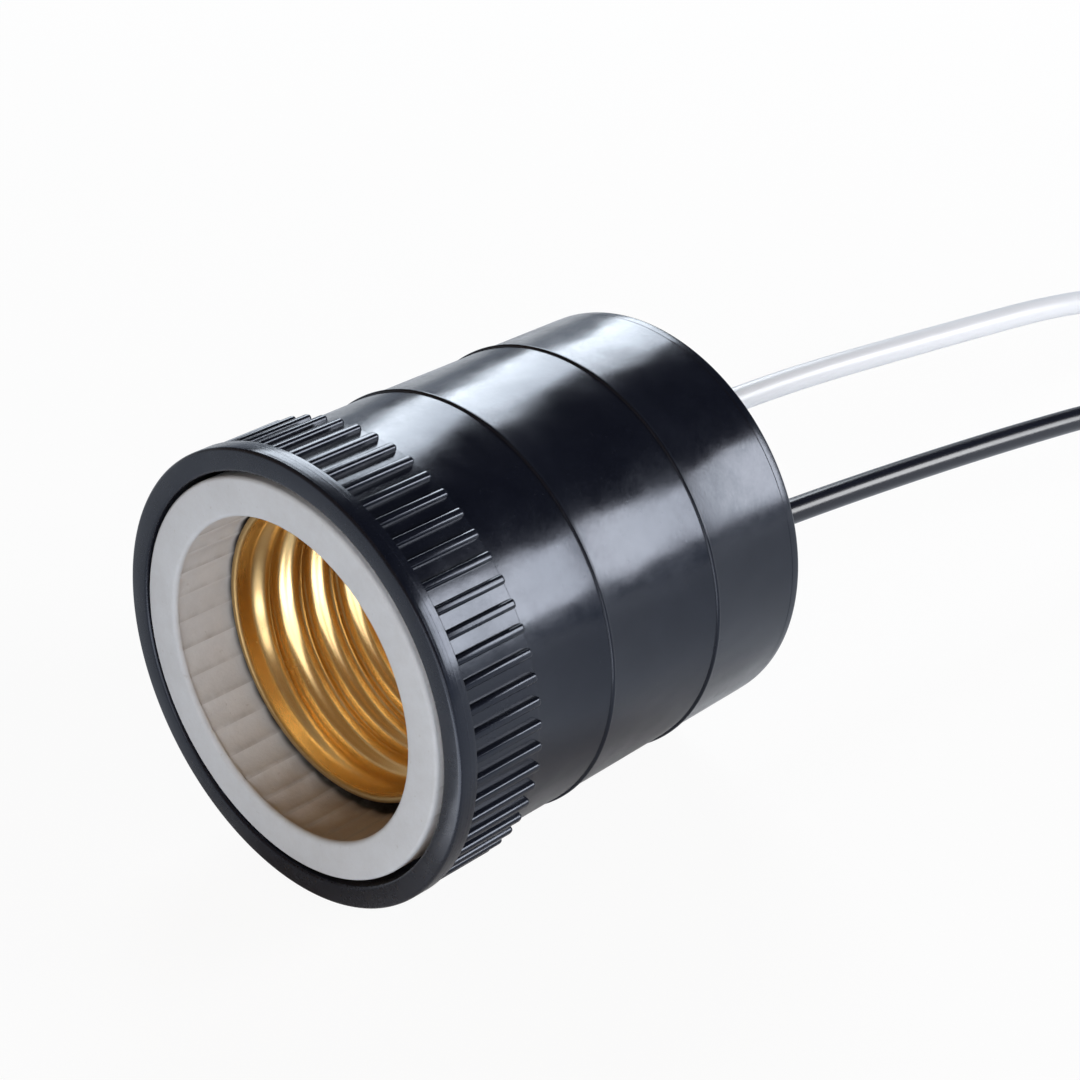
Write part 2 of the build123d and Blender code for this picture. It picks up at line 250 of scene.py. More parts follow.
class HousingSettings(bpy.types.PropertyGroup):
    """Sizes and finish of the black moulding."""

    rim_radius: length("Rim radius", "Outer radius of the plain band at the mouth", housing_high.x)
    face_width: length("Face width", "Width of the flat front face", 0.00205)
    band_width: length("Band width", "Length of the plain band before the ribs", 0.0019)
    ring_length: length("Ring length", "Length of the ribbed ring from the front face", 0.0096)
    valley_step: length("Valley step", "Height of the floor between ribs over the body", 0.0005)
    body_radius: length("Body radius", "Radius of the body behind the ribs", 0.0193)
    mid_radius: length("Middle radius", "Radius of the body at the second line", 0.0192)
    rear_radius: length("Rear radius", "Radius of the body at the rear face", 0.01912)
    rear_round: length("Rear round", "Rounding of the rear edge", 0.0003)
    first_line: length("First line", "Place of the first parting line from the front face", 0.0189)
    second_line: length("Second line", "Place of the second parting line from the front face", 0.0323)
    bead_height: length("Bead height", "Height of the parting beads", 0.0002)
    seam: length("Seam", "Place of the rear lid's seam before the rear face", 0.001)
    boss_height: length("Boss height", "Height of the bosses round the leads", 0.0009)
    rib_count: IntProperty(name="Ribs", description="Number of ribs round the ring", default=60, min=3)
    rib_phase: phase("Rib phase", "Turn of the first rib", 1.6)
    rib_width: length("Rib width", "Width of each rib", 0.00085)
    rib_drop: length("Rib drop", "Drop of the ribs' tops under the band", 0.00015)
    rib_round: length("Rib round", "Rounding of the ribs' tops and rear ends", 0.0003)
    black: colour("Black", "Main colour of the moulding", (0.0030, 0.0036, 0.0072))
    bloom: colour("Bloom", "Paler colour of the blotches", (0.0075, 0.0092, 0.0165))
    roughness: share("Roughness", "Mean roughness of the sheen", 0.20)


class CoreSettings(bpy.types.PropertyGroup):
    """Sizes and finish of the porcelain lining."""

    skirt_radius: length("Skirt radius", "Inner radius of the lining", 0.0145)
    mouth_round: length("Mouth round", "Rounding of the rim's inner edge", 0.0004)
    rim_edge: length("Rim edge", "Rounding of the rim's outer edge", 0.00035)
    shank_radius: length("Shank radius", "Outer radius behind the rim's flange", 0.0164)
    flange_length: length("Flange length", "Length of the rim's flange", 0.0046)
    floor_front: length("Floor", "Place of the floor that carries the contacts", shell_high.y)
    flute_count: IntProperty(name="Flutes", description="Number of flutes round the skirt", default=36, min=3)
    flute_depth: length("Flute depth", "Depth of the flutes", 0.00024)
    flute_radius: length("Flute radius", "Radius of each flute's hollow", 0.0034)
    flute_start: length("Flute start", "Start of the flutes behind the rim", 0.0005)
    flute_end: length("Flute end", "Place where the flutes end", 0.0025)
    flute_phase: phase("Flute phase", "Turn of the first flute", -3.0)
    lean: shift("Lean", "Offset of the rim in its seat across and up", (-0.0003, -0.0001))
    white: colour("White", "Colour of the rim", (0.61, 0.655, 0.715))
    warm: colour("Warm grey", "Colour of the skirt", (0.72, 0.735, 0.765))
    # The skirt turns to this brown towards its lower side, and a little deeper into the mouth as painted shade.
    deep: colour("Brown", "Colour of the stained side of the skirt", (0.36, 0.27, 0.20))


class ShellSettings(bpy.types.PropertyGroup):
    """Sizes and finish of the threaded shell."""

    pitch: length("Pitch", "Pitch of the round thread", 0.003629)
    major_radius: length("Major radius", "Inner radius at the thread's hollows", 0.0134)
    minor_radius: length("Minor radius", "Inner radius at the thread's crests", 0.0123)
    sheet: length("Sheet", "Thickness of the metal", 0.0004)
    skin: length("Collar skin", "Extra thickness of the plain collars", 0.00006)
    lip_reach: length("Lip reach", "Reach of the turned lip", 0.00012)
    thread_start: length("Thread start", "Place where the thread starts", 0.0011)
    thread_end: length("Thread end", "Place where the thread ends", 0.0216)
    first_flank: length("First flank", "Place of the thread's first flank", 0.00166)
    plain: length("Plain run", "Plain run at each end of the thread", 0.0001)
    ramp: length("Ramp", "Length over which the thread grows", 0.00275)
    lean: shift("Lean", "Offset of the lip from the axis across and up", (-0.0004, 0.0003))
    gold: colour("Gold", "Colour of the metal", (0.95, 0.73, 0.39))
    amber: colour("Amber", "Colour of the darker patches", (0.88, 0.57, 0.21))
    roughness: share("Roughness", "Mean roughness of the metal", 0.25)


class LeadSettings(bpy.types.PropertyGroup):
    """Sizes and finish of the two leads."""

    diameter: length("Diameter", "Diameter over the insulation", 0.0025)
    strand_radius: length("Strand radius", "Radius of one strand of a stripped end", 0.00018)
    strip_length: length("Strip length", "Length of each stripped end", 0.008)
    lay_length: length("Lay length", "Length in which the strands turn once", 0.011)
    white: colour("White", "Colour of the pale lead", (0.75, 0.78, 0.83))
    black: colour("Black", "Colour of the dark lead", (0.005, 0.006, 0.012))


class StageSettings(bpy.types.PropertyGroup):
    """Light, floor and camera."""

    right: watts("Right softbox", "Power of the softbox behind on the right", 3.6)
    left: watts("Left softbox", "Power of the softbox behind on the left", 2.95)
    fill: watts("Fill", "Power of the light in front of the mouth", 3.0)
    card: watts("Card", "Power of the card that the shell mirrors", 0.86)
    near: watts("Near panel", "Power of the low panel by the mouth", 0.0235)
    far: watts("Far panel", "Power of the low panel before the mouth", 0.077)
    lens: FloatProperty(name="Lens", description="Focal length in millimetres", default=86.67, unit="CAMERA")
    cool: colour("Light colour", "Tint of the lights", (0.97, 0.98, 1.0))
    blue: colour("Left colour", "Tint of the left softbox", (0.86, 0.93, 1.0))


class SocketSettings(bpy.types.PropertyGroup):
    """All settings of the socket."""

    housing: PointerProperty(type=HousingSettings)
    core: PointerProperty(type=CoreSettings)
    shell: PointerProperty(type=ShellSettings)
    leads: PointerProperty(type=LeadSettings)
    stage: PointerProperty(type=StageSettings)


class Signal:
    """A shader socket that takes part in sums."""

    def __init__(self, finish, socket):
        self.finish = finish
        self.socket = socket

    def other(self, name):
        """Another output of the same node."""
        return Signal(self.finish, self.socket.node.outputs[name])

    def __add__(self, other):
        return self.finish.maths("ADD", self, other)

    def __sub__(self, other):
        return self.finish.maths("SUBTRACT", self, other)

    def __rsub__(self, other):
        return self.finish.maths("SUBTRACT", other, self)

    def __mul__(self, other):
        return self.finish.maths("MULTIPLY", self, other)

    def __truediv__(self, other):
        return self.finish.maths("DIVIDE", self, other)

    __radd__ = __add__
    __rmul__ = __mul__


class Finish:
    """The nodes of one finish, on a material or on the world."""

    def __init__(self, owner):
        self.owner = owner
        owner.use_nodes = True
        self.tree = owner.node_tree
        self.tree.nodes.clear()

    def add(self, kind, settings=None, sockets=None, out=0):
        """Adds a node: its settings first, then the values or links of its sockets."""
        node = self.tree.nodes.new(kind)
        for name, value in (settings or {}).items():
            setattr(node, name, value)
        for name, value in (sockets or {}).items():
            if isinstance(value, Signal):
                self.tree.links.new(value.socket, node.inputs[name])
            else:
                node.inputs[name].default_value = value
        return Signal(self, node.outputs[out]) if len(node.outputs) else None

    def maths(self, operation, *values):
        """A Math node on numbers."""
        return self.add("ShaderNodeMath", {"operation": operation}, dict(enumerate(values)))

    def place(self):
        """Object coordinates, which are the part's own frame."""
        return self.add("ShaderNodeTexCoord", out="Object")

    def parts(self, vector):
        """The X, Y and Z of a vector."""
        split = self.add("ShaderNodeSeparateXYZ", sockets={0: vector})
        return split, split.other("Y"), split.other("Z")

    def stretched(self, vector, scale):
        """A vector with each of its parts scaled."""
        return self.add("ShaderNodeMapping", sockets={"Vector": vector, "Scale": scale})

    def noise(self, vector, size, detail=2.0, rough=0.5):
        """Cloudy noise from nought to one, with features of about the given size."""
        return self.add(
            "ShaderNodeTexNoise",
            sockets={"Vector": vector, "Scale": 1.0 / size, "Detail": detail, "Roughness": rough},
        )

    def lines(self, value, size):
        """Noise that changes along one number only."""
        return self.add(
            "ShaderNodeTexNoise",
            {"noise_dimensions": "1D"},
            {"W": value, "Scale": 1.0 / size, "Detail": 3.0, "Roughness": 0.6},
        )

    def mask(self, value, low, high):
        """A smooth rise from nought at low to one at high."""
        return self.add(
            "ShaderNodeMapRange",
            {"interpolation_type": "SMOOTHSTEP"},
            {"Value": value, "From Min": low, "From Max": high},
        )

    def mix(self, amount, first, second):
        """A mix of two colours."""
        return self.add("ShaderNodeMix", {"data_type": "RGBA"}, {0: amount, 6: first, 7: second}, out=2)

    def bump(self, height, depth, under=None):
        """Relief of the given depth, over other relief."""
        sockets = {"Height": height, "Distance": depth}
        if under is not None:
            sockets["Normal"] = under
        return self.add("ShaderNodeBump", sockets=sockets)

    def surface(self, sockets):
        """The Principled shader on the output."""
        shader = self.add("ShaderNodeBsdfPrincipled", sockets=sockets)
        self.add("ShaderNodeOutputMaterial", sockets={"Surface": shader})
        return self.owner


def opaque(rgb):
    """A colour with full alpha."""
    return (rgb[0], rgb[1], rgb[2], 1.0)


def new_finish(name):
    """An empty material to build a finish on."""
    return Finish(bpy.data.materials.new(name))


def moulding_finish(settings):
    """Satin black moulding: cloudy sheen, fine grain, turned lines on the band and a duller front face."""
    front = housing_low.y
    finish = new_finish("satin_black_moulding")
    at = finish.place()
    along = finish.parts(at)[1]
    blotch = finish.noise(at, size=0.006, detail=4.0, rough=0.6)
    cloud = finish.noise(at, size=0.0018, detail=3.0, rough=0.6)
    grain = finish.noise(at, size=0.0003)
    wave = finish.noise(finish.stretched(at, (1.0, 0.6, 1.0)), size=0.008, rough=0.45)
    turned_lines = finish.lines(along, size=0.00026)
    on_face = 1.0 - finish.mask(along, front + 0.00012, front + 0.0004)
    band_end = front + settings.band_width
    past_face = finish.mask(along, front + 0.00035, front + 0.0006)
    on_band = past_face * (1.0 - finish.mask(along, band_end - 0.0003, band_end))
    ring_end = front + settings.ring_length
    past_band = finish.mask(along, band_end - 0.0001, band_end)
    on_ring = past_band * (1.0 - finish.mask(along, ring_end, ring_end + 0.0003))
    dust = finish.mask(finish.noise(at, size=0.00022, detail=1.0), 0.66, 0.80)
    dust_grey = (0.15, 0.17, 0.20, 1.0)
    shade = finish.mix(blotch * 0.7 + cloud * 0.3, opaque(settings.black), opaque(settings.bloom))
    shade = finish.mix(dust * 0.05, shade, dust_grey)
    gloss = settings.roughness + (blotch - 0.5) * 0.22 + (cloud - 0.5) * 0.12 + (grain - 0.5) * 0.10
    gloss = gloss + on_face * 0.08 + on_ring * 0.02 + on_band * (turned_lines - 0.35) * 0.18
    relief = finish.bump(wave, depth=0.0002)
    relief = finish.bump(grain, depth=0.000003, under=relief)
    relief = finish.bump(turned_lines * on_band, depth=0.000012, under=relief)
    return finish.surface(
        {
            "Base Color": shade, "Roughness": gloss, "Normal": relief, "Specular IOR Level": 0.44,
            "Specular Tint": (0.78, 0.85, 1.0, 1.0),
        }
    )


def porcelain_finish(settings):
    """Unglazed porcelain: pale grainy rim, grey skirt browner towards its lower side, painted shade in the flutes and
    deeper in, and painted shade behind the shell's lip.
    """
    front = core_low.y
    step = tau / settings.flute_count
    finish = new_finish("unglazed_porcelain")
    at = finish.place()
    across, along, height = finish.parts(at)
    grain = finish.noise(at, size=0.00028, detail=3.0, rough=0.65)
    mottle = finish.noise(at, size=0.0008)
    smear = finish.noise(at, size=0.0042, detail=3.0, rough=0.6)
    pits = finish.mask(finish.noise(at, size=0.0005, detail=1.0), 0.70, 0.78)
    on_skirt = finish.mask(along, front + 0.0002, front + 0.0007)
    turned = finish.add(
        "ShaderNodeMapping", sockets={"Vector": at, "Rotation": (0.0, settings.flute_phase + step / 2, 0.0)}
    )
    turned_across, _, turned_height = finish.parts(turned)
    flutes = finish.maths("ARCTAN2", turned_height, turned_across) / step
    down = finish.maths("FRACT", flutes)
    own_tone = finish.add(
        "ShaderNodeTexWhiteNoise", {"noise_dimensions": "1D"}, {"W": finish.maths("FLOOR", flutes)}
    )
    # Painted shade across each flute, darkest towards one side of its hollow and broken up in patches; own_tone adds
    # each flute's own random tone.
    patchy = finish.noise(at, size=0.0015)
    flute_shade = down * down * 0.24 + finish.mask(down, 0.80, 0.97) * 0.20
    flute_shade_and_tone = flute_shade * (patchy * 2.0 - 0.35) + own_tone * 0.12
    # Browner towards the skirt's lower side in the part's frame, plus painted shade that deepens into the mouth.
    below = across * 0.35 - height + (smear - 0.5) * 0.006
    recess_shade = finish.mask(along, front + 0.001, front + 0.008)
    lower_brown_and_recess_shade = finish.mask(below, 0.0100, 0.0165) * 0.95 + recess_shade * 0.12
    before_floor = finish.mask(along, 0.018, 0.012)
    behind_lip = finish.mask(along, 0.0, 0.0007) * before_floor
    flute_shade_grey = (0.25, 0.235, 0.23, 1.0)
    lip_shade = (0.02, 0.014, 0.009, 1.0)
    grain_grey = (0.42, 0.42, 0.43, 1.0)
    smear_grey = (0.43, 0.45, 0.48, 1.0)
    pit_grey = (0.30, 0.28, 0.26, 1.0)
    inside = finish.mix(lower_brown_and_recess_shade, opaque(settings.warm), opaque(settings.deep))
    inside = finish.mix(flute_shade_and_tone * before_floor, inside, flute_shade_grey)
    inside = finish.mix(behind_lip, inside, lip_shade)
    shade = finish.mix(on_skirt, opaque(settings.white), inside)
    shade = finish.mix((grain - 0.35) * 0.20 + (mottle - 0.4) * 0.25, shade, grain_grey)
    shade = finish.mix(finish.mask(smear, 0.35, 0.75) * 0.22, shade, smear_grey)
    shade = finish.mix(pits * 0.18, shade, pit_grey)
    gloss = 0.72 + (grain - 0.5) * 0.2
    relief = finish.bump(smear, depth=0.00003)
    relief = finish.bump(grain - pits * 0.5, depth=0.000022, under=relief)
    return finish.surface(
        {"Base Color": shade, "Roughness": gloss, "Normal": relief, "Specular IOR Level": 0.35}
    )


def metal_finish(name, bright, dark, roughness, line_size, dull_edge=False):
    """Bright metal with drawn lines round the axis and darker patches, dulled at the lip where asked."""
    finish = new_finish(name)
    at = finish.place()
    along = finish.parts(at)[1]
    patch = finish.noise(at, size=0.005, detail=3.0, rough=0.6)
    drawn = finish.lines(along, size=line_size)
    scuff = finish.noise(finish.stretched(at, (1.0, 3.5, 1.0)), size=0.0011, detail=3.0, rough=0.6)
    shade = finish.mix(patch * 0.5 + drawn * 0.25, opaque(bright), opaque(dark))
    gloss = roughness + (patch - 0.5) * 0.10 + (scuff - 0.5) * 0.06
    if dull_edge:
        edge = 1.0 - finish.mask(along, 0.0001, 0.0005)
        dull_brown = (0.30, 0.19, 0.08, 1.0)
        shade = finish.mix(edge * 0.7, shade, dull_brown)
        gloss = gloss + edge * 0.25
    relief = finish.bump(drawn * 0.7 + scuff * 0.3, depth=0.0000012)
    return finish.surface({"Base Color": shade, "Metallic": 1.0, "Roughness": gloss, "Normal": relief})


def insulation_finish(name, main, pale, roughness):
    """Glossy extruded plastic with faint streaks along the lead."""
    finish = new_finish(name)
    at = finish.place()
    streak = finish.noise(finish.stretched(at, (1.0, 0.12, 1.0)), size=0.0022)
    cloud = finish.noise(at, size=0.009)
    shade = finish.mix(streak * 0.3 + cloud * 0.5, opaque(main), opaque(pale))
    gloss = roughness + (streak - 0.5) * 0.06
    relief = finish.bump(cloud, depth=0.00004)
    return finish.surface({"Base Color": shade, "Roughness": gloss, "Normal": relief, "IOR": 1.52})


def strand_finish():
    """Tinned strands: dull silver with warm copper showing between them."""
    finish = new_finish("tinned_strands")
    at = finish.place()
    patchy = finish.mask(finish.noise(at, size=0.0012, detail=3.0), 0.48, 0.66)
    scratch = finish.noise(at, size=0.0002)
    tin = (0.66, 0.65, 0.64, 1.0)
    copper = (0.72, 0.42, 0.26, 1.0)
    shade = finish.mix(patchy * 0.8, tin, copper)
    gloss = 0.3 + (scratch - 0.5) * 0.2
    relief = finish.bump(scratch, depth=0.000004)
    return finish.surface({"Base Color": shade, "Metallic": 1.0, "Roughness": gloss, "Normal": relief})


def chain(bm, corners):
    """Edges through corners, each given as a radius, a place along the axis and the corner's rounding."""
    verts = [bm.verts.new((radius, along, 0.0)) for radius, along, _ in corners]
    for first, second in zip(verts, verts[1:]):
        bm.edges.new((first, second))
    for vert, (_, _, rounding) in zip(verts, corners):
        if rounding > 0.0:
            bmesh.ops.bevel(
                bm, geom=[vert], offset=rounding, offset_type="OFFSET", affect="VERTICES", segments=4,
                profile=0.5, material=-1,
            )


def turn(bm, steps):
    """Spins the chain in the mesh once round the Y axis and closes its seam and poles."""
    bmesh.ops.spin(
        bm, geom=bm.verts[:] + bm.edges[:], cent=ORIGIN, axis=AXIS, angle=tau, steps=steps, use_merge=True
    )
    close(bm)


def close(bm):
    """Merges doubles and turns the faces outwards."""
    bmesh.ops.remove_doubles(bm, verts=bm.verts[:], dist=MERGE_DISTANCE)
    bmesh.ops.recalc_face_normals(bm, faces=bm.faces[:])


def take_in(bm, other):
    """Moves another mesh's faces into this one."""
    holder = bpy.data.meshes.new("holder")
    other.to_mesh(holder)
    other.free()
    bm.from_mesh(holder)
    bpy.data.meshes.remove(holder)


def finished(name, bm, material, slot, body="socket", sharp=38.0):
    """An object from the mesh, with soft shading, its finish, and the body that it rides on."""
    mesh = bpy.data.meshes.new(name)
    bm.to_mesh(mesh)
    bm.free()
    mesh.shade_smooth()
    mesh.set_sharp_from_angle(angle=radians(sharp))
    mesh.materials.append(material)
    piece = bpy.data.objects.new(name, mesh)
    bpy.context.scene.collection.objects.link(piece)
    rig.slot(piece, slot)
    if body:
        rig.ride(piece, body)
    return piece


def dress(node, material):
    """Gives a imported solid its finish."""
    mesh = frame["nodes"][node].data
    mesh.materials.clear()
    mesh.materials.append(material)


class LAMPSOCKET_OT_housing(bpy.types.Operator):
    """Turn the black moulding and set its ribs and bosses"""

    bl_idname = "lampsocket.housing"
    bl_label = "Housing"

    def execute(self, context):
        settings = context.scene.lamp_socket.housing
        front = housing_low.y
        rear = housing_high.y - settings.boss_height
        bore = settings.rim_radius - settings.face_width
        valley = settings.body_radius + settings.valley_step
        band_end = front + settings.band_width
        ring_end = front + settings.ring_length
        rear_wall = 0.00245
        chamber = 0.015
        chamber_front = 0.0277
        chamber_rear = rear - rear_wall
        seat = 0.01645
        shoulder = -0.00135
        face_edge = 0.0003
        fine = 0.0001
        corners = [
            (0.0, chamber_rear, 0.0),
            (chamber, chamber_rear, 0.0),
            (chamber, chamber_front, 0.0),
            (seat, chamber_front, 0.0),
            (seat, shoulder, 0.0),
            (bore, shoulder, 0.0),
            (bore, front, face_edge),
            (settings.rim_radius, front, face_edge),
            (settings.rim_radius, band_end, fine),
            (valley, band_end, fine),
            (valley, ring_end, fine),
            (settings.body_radius, ring_end, fine),
        ]
        foot_half = 0.00021
        foot_round = 0.00004
        top_half = 0.00016
        top_round = 0.00013
        beads = (
            (settings.first_line, settings.body_radius),
            (settings.second_line, settings.mid_radius),
        )
        for line, radius in beads:
            middle = front + line
            top = radius + settings.bead_height
            corners += [
                (radius, middle - foot_half, foot_round),
                (top, middle - top_half, top_round),
                (top, middle + top_half, top_round),
                (radius, middle + foot_half, foot_round),
            ]
        lid = rear - settings.seam
        seam_depth = 0.00006
        lid_edge = 0.00004
        lid_radius = settings.rear_radius - 0.00002
        corners += [
            (settings.rear_radius, lid - seam_depth, 0.0),
            (settings.rear_radius - seam_depth, lid, 0.0),
            (lid_radius, lid + lid_edge, 0.0),
            (lid_radius, rear, settings.rear_round),
            (0.0, rear, 0.0),
        ]
        body = bmesh.new()
        chain(body, corners)
        turn(body, steps=360)
        take_in(body, self.ribs(settings, front, valley))
        for x, z in LEAD_PLACES:
            take_in(body, self.boss(x, z, rear, settings.boss_height))
        piece = finished("housing_moulding", body, moulding_finish(settings), "moulding")
        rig.replaces(piece, "housing")
        return {"FINISHED"}

    def ribs(self, settings, front, valley):
        """One rounded rib, copied round the ring."""
        root = 0.0004
        overlap = 0.0002
        rear_gap = 0.0001
        nearness = 0.000001
        top = settings.rim_radius - settings.rib_drop
        low = valley - root
        start = front + settings.band_width - overlap
        end = front + settings.ring_length - rear_gap
        bm = bmesh.new()
        place = Matrix.Translation(((low + top) / 2, (start + end) / 2, 0.0))
        size = Matrix.Diagonal((top - low, end - start, settings.rib_width, 1.0))
        bmesh.ops.create_cube(bm, size=1.0, matrix=place @ size)
        upper = [edge for edge in bm.edges if all(vert.co.x > valley for vert in edge.verts)]
        rear_corner = [
            edge for edge in bm.edges
            if all(vert.co.y > end - nearness for vert in edge.verts) and edge not in upper
        ]
        bmesh.ops.bevel(
            bm, geom=upper + rear_corner, offset=settings.rib_round, offset_type="OFFSET", affect="EDGES",
            segments=4, profile=0.5, material=-1,
        )
        bmesh.ops.rotate(
            bm, verts=bm.verts[:], cent=ORIGIN, matrix=Matrix.Rotation(-settings.rib_phase, 3, "Y")
        )
        copies = settings.rib_count - 1
        bmesh.ops.spin(
            bm, geom=bm.verts[:] + bm.edges[:] + bm.faces[:], cent=ORIGIN, axis=AXIS,
            angle=tau * copies / settings.rib_count, steps=copies, use_duplicate=True,
        )
        bmesh.ops.recalc_face_normals(bm, faces=bm.faces[:])
        return bm

    def boss(self, x, z, rear, height):
        """A low round boss with the lead's hole."""
        hole = 0.0013
        hole_depth = 0.001
        hole_edge = 0.00015
        wall = 0.0023
        wall_edge = 0.0004
        foot = 0.0026
        foot_depth = 0.0002
        bm = bmesh.new()
        chain(bm, [
            (hole, rear - hole_depth, 0.0),
            (hole, rear + height, hole_edge),
            (wall, rear + height, wall_edge),
            (wall, rear, 0.0),
            (foot, rear - foot_depth, 0.0),
        ])
        turn(bm, steps=48)
        bmesh.ops.translate(bm, verts=bm.verts[:], vec=(x, 0.0, z))
        return bm


class LAMPSOCKET_OT_core(bpy.types.Operator):
    """Turn the porcelain lining and press the flutes into its skirt"""

    bl_idname = "lampsocket.core"
    bl_label = "Porcelain lining"

    def execute(self, context):
        settings = context.scene.lamp_socket.core
        front = core_low.y
        skirt = settings.skirt_radius
        flute_start = front + settings.flute_start
        flute_end = settings.flute_end
        corners = [
            (0.0, settings.floor_front, 0.0),
            (skirt, settings.floor_front, 0.0),
            (skirt, flute_end + 0.0006, 0.0),
            (skirt, flute_end + 0.0001, 0.0),
            (skirt, flute_end, 0.0),
            (skirt, (flute_end + front) / 2, 0.0),
            (skirt, flute_start + 0.0003, 0.0),
            (skirt, flute_start + 0.0001, 0.0),
            (skirt, flute_start, 0.0),
            (skirt, front, settings.mouth_round),
            (core_high.x, front, settings.rim_edge),
            (core_high.x, front + settings.flange_length, 0.0),
            (settings.shank_radius, front + settings.flange_length, 0.0),
            (settings.shank_radius, core_high.y, 0.0),
            (0.0, core_high.y, 0.0),
        ]
        steps_per_flute = 12
        bm = bmesh.new()
        chain(bm, corners)
        turn(bm, settings.flute_count * steps_per_flute)
        self.flutes(bm, settings, front)
        piece = finished("porcelain_lining", bm, porcelain_finish(settings), "porcelain")
        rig.replaces(piece, "ceramic_core")
        return {"FINISHED"}

    def flutes(self, bm, settings, front):
        """Moves the skirt outwards in hollows along the axis."""
        start = front + settings.flute_start
        step = tau / settings.flute_count
        middle = settings.skirt_radius + settings.flute_depth - settings.flute_radius
        slack = 0.00005
        nearness = 0.00001
        for vert in bm.verts:
            x, y, z = vert.co
            radius = sqrt(x * x + z * z)
            on_skirt = abs(radius - settings.skirt_radius) <= nearness
            if not (on_skirt and start + slack < y < settings.flute_end + slack):
                continue
            angle = atan2(z, x)
            off = angle - step * round(angle / step)
            reach = middle * cos(off) + sqrt(settings.flute_radius**2 - (middle * sin(off)) ** 2)
            vert.co = (x * reach / radius, y, z * reach / radius)
        bmesh.ops.rotate(
            bm, verts=bm.verts[:], cent=ORIGIN, matrix=Matrix.Rotation(-settings.flute_phase, 3, "Y")
        )
        for vert in bm.verts:
            lean = (core_high.y - vert.co.y) / (core_high.y - front)
            vert.co.x += settings.lean[0] * lean
            vert.co.z += settings.lean[1] * lean


class LAMPSOCKET_OT_shell(bpy.types.Operator):
    """Roll the gold shell with its round thread, lip and collars"""

    bl_idname = "lampsocket.shell"
    bl_label = "Threaded shell"

    def execute(self, context):
        settings = context.scene.lamp_socket.shell
        inner = settings.major_radius - settings.skin
        outer = settings.major_radius + settings.sheet + settings.skin
        lip = settings.major_radius + settings.sheet + settings.lip_reach
        rear = shell_high.y
        thread = self.thread(settings)
        lip_depth = 0.0003
        # Radius, place and thread depth of each ring: round the lip, along the outside, back along the inside
        rings = [(inner, lip_depth, 0.0), (inner + 0.00004, 0.00008, 0.0), (inner + 0.00014, 0.0, 0.0)]
        rings += [(lip - 0.00012, 0.0, 0.0), (lip - 0.00003, 0.00005, 0.0), (lip, 0.00014, 0.0)]
        rings += [(lip, lip_depth, 0.0), (outer, 2 * settings.sheet, 0.0)]
        rings += [(outer, settings.thread_start, 0.0)]
        rings += [(radius + settings.sheet, along, depth) for radius, along, depth in thread]
        rings += [(outer, settings.thread_end, 0.0), (outer, rear, 0.0), (inner, rear, 0.0)]
        rings += [(inner, settings.thread_end, 0.0)]
        rings += list(reversed(thread))
        rings += [(inner, settings.thread_start, 0.0), rings[0]]
        bm = bmesh.new()
        last = len(rings) - 1
        bmesh.ops.create_grid(bm, x_segments=168, y_segments=last, size=0.5)
        for vert in bm.verts:
            radius, along, depth = rings[round((vert.co.y + 0.5) * last)]
            angle = tau * vert.co.x
            turns = (along - settings.first_flank) / settings.pitch + angle / tau
            wall = radius - depth * (1.0 - self.wave(settings, turns))
            lean = 1.0 - along / rear
            x = wall * cos(angle) + settings.lean[0] * lean
            z = wall * sin(angle) + settings.lean[1] * lean
            vert.co = (x, along, z)
        close(bm)
        finish = metal_finish(
            "gold_shell", settings.gold, settings.amber, settings.roughness, line_size=0.00022, dull_edge=True
        )
        piece = finished("threaded_shell", bm, finish, "shell_metal", sharp=50.0)
        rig.replaces(piece, "screw_shell")
        dress("shell_base", finish)
        return {"FINISHED"}

    def wave(self, settings, turns):
        """The round thread's section in two equal arcs: one in the hollows, minus one on the crests."""
        height = (settings.major_radius - settings.minor_radius) / 2
        quarter = settings.pitch / 4
        arc = (quarter**2 + height**2) / (2 * height)
        away = abs((turns + 0.25) % 1.0 - 0.5) * settings.pitch
        in_hollow = away <= quarter
        side = away if in_hollow else 2 * quarter - away
        rise = (sqrt(arc**2 - side**2) - (arc - height)) / height
        return rise if in_hollow else -rise

    def thread(self, settings):
        """Hollow's radius, place and depth of each ring along the thread."""
        depth = (settings.major_radius - settings.minor_radius) / 2
        run = settings.thread_end - settings.thread_start
        rings_per_turn = 36
        count = round(run / settings.pitch * rings_per_turn)
        stations = []
        for k in range(count + 1):
            along = settings.thread_start + run * k / count
            room = min(along - settings.thread_start, settings.thread_end - along) - settings.plain
            rise = max(0.0, min(1.0, room / settings.ramp))
            stations.append((settings.major_radius, along, depth * rise * rise * (3 - 2 * rise)))
        return stations


